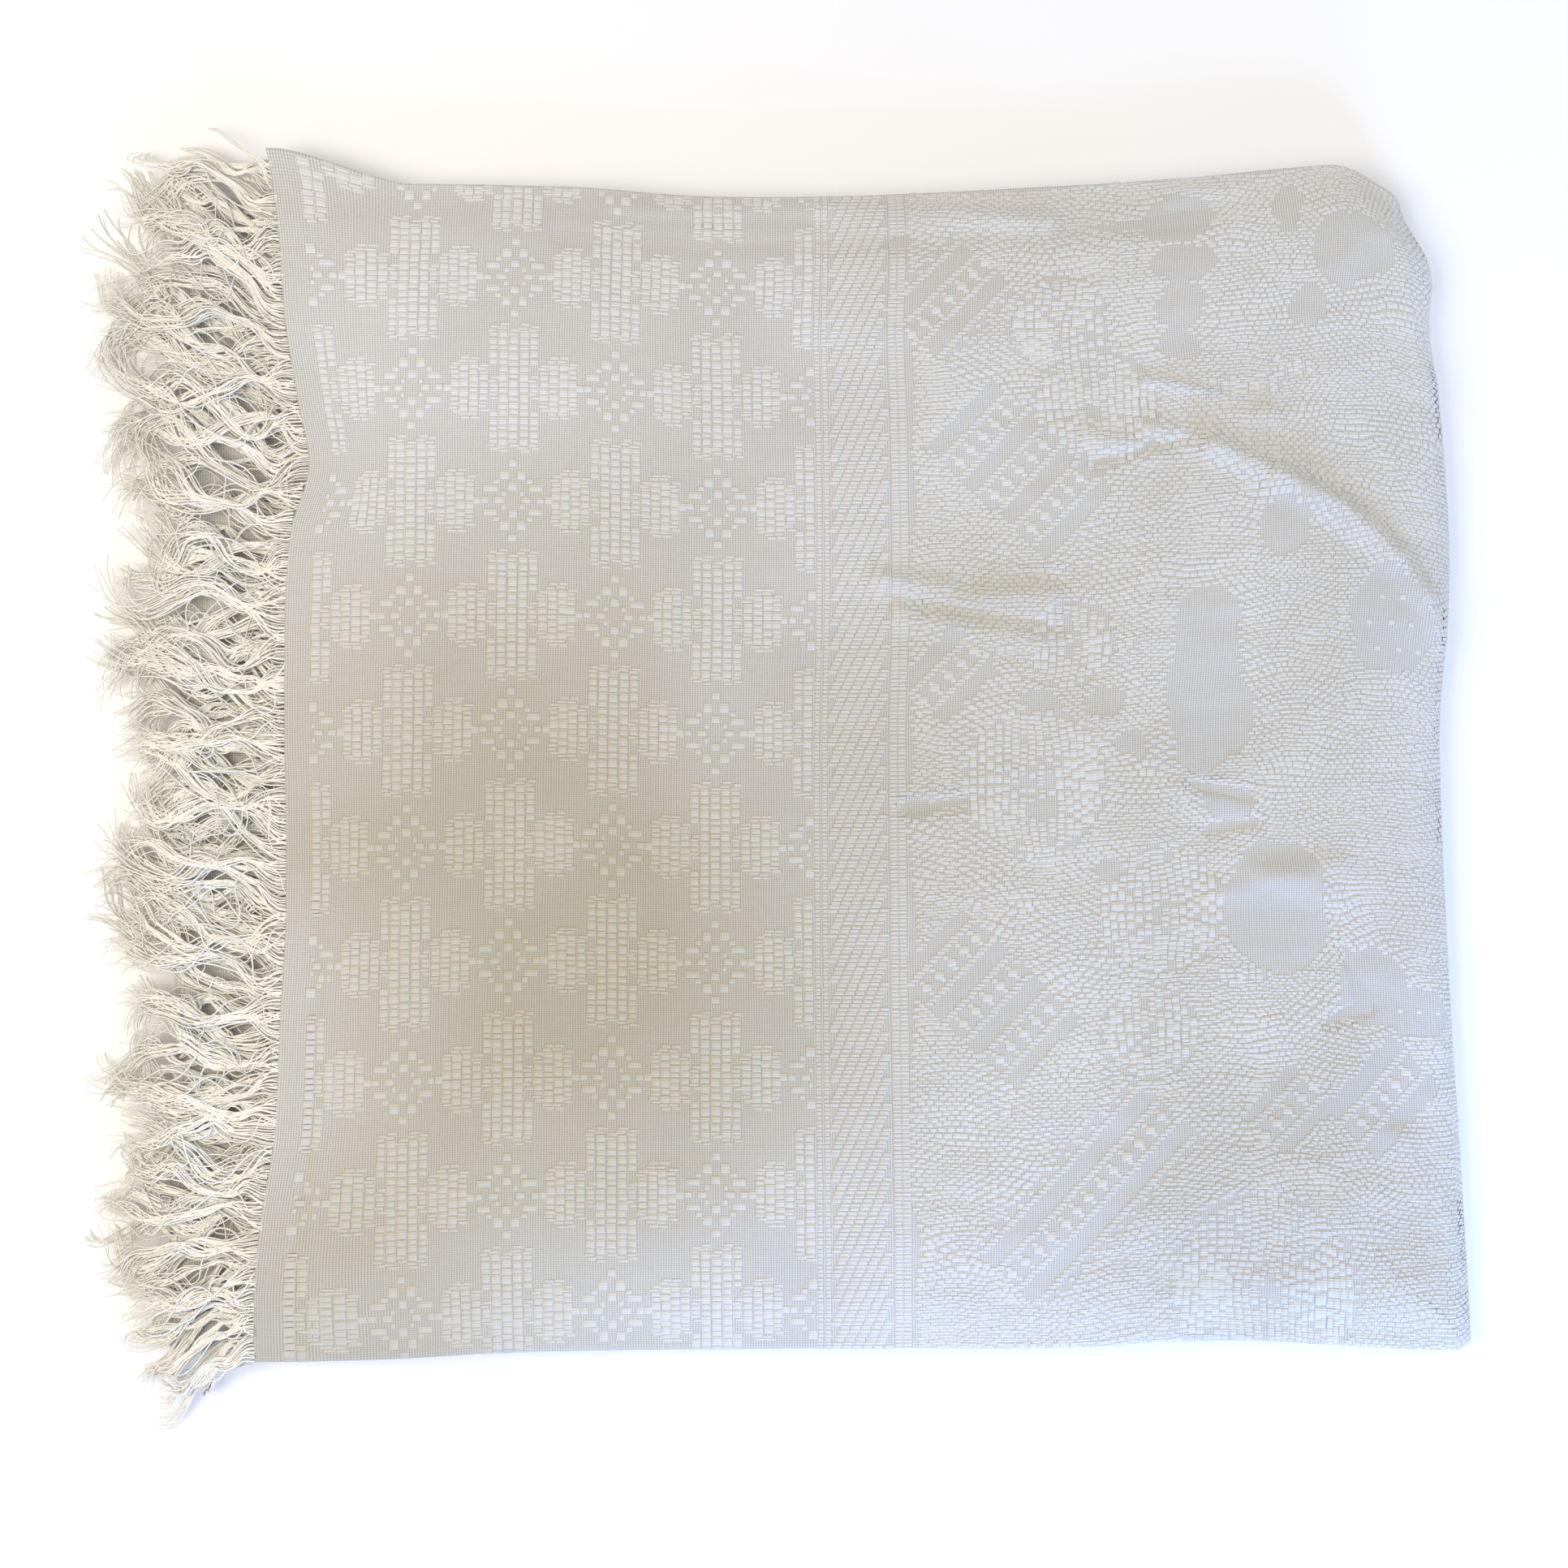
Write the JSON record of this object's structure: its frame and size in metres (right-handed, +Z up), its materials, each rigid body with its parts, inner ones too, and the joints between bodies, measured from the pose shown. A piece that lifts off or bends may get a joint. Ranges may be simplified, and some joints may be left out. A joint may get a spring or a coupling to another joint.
{
  "type": "folded fringed bedspread",
  "caption": "Woven cotton bedspread with a cut fringe at its ends, folded both ways into a flat square pile to store, stack or display.",
  "frame": {"origin": "middle of the whole part's outline, fringe included, on the plane it rests on", "axes": "+X from the fringed end to the folded side, +Y from the front fold to the back fold, +Z up through the layers"},
  "size_m": [0.7076, 0.674, 0.0373],
  "materials": {
    "cotton_cloth": "matt cream cotton, figured weave in raised floats on a fine ribbed ground",
    "cotton_fringe": "matt off-white cotton yarn in loose twisted locks"
  },
  "bodies": {
    "root": {"bedspread_cloth": "cotton_cloth", "fringe_upper": "cotton_fringe", "fringe_lower": "cotton_fringe"}
  },
  "joints": []
}
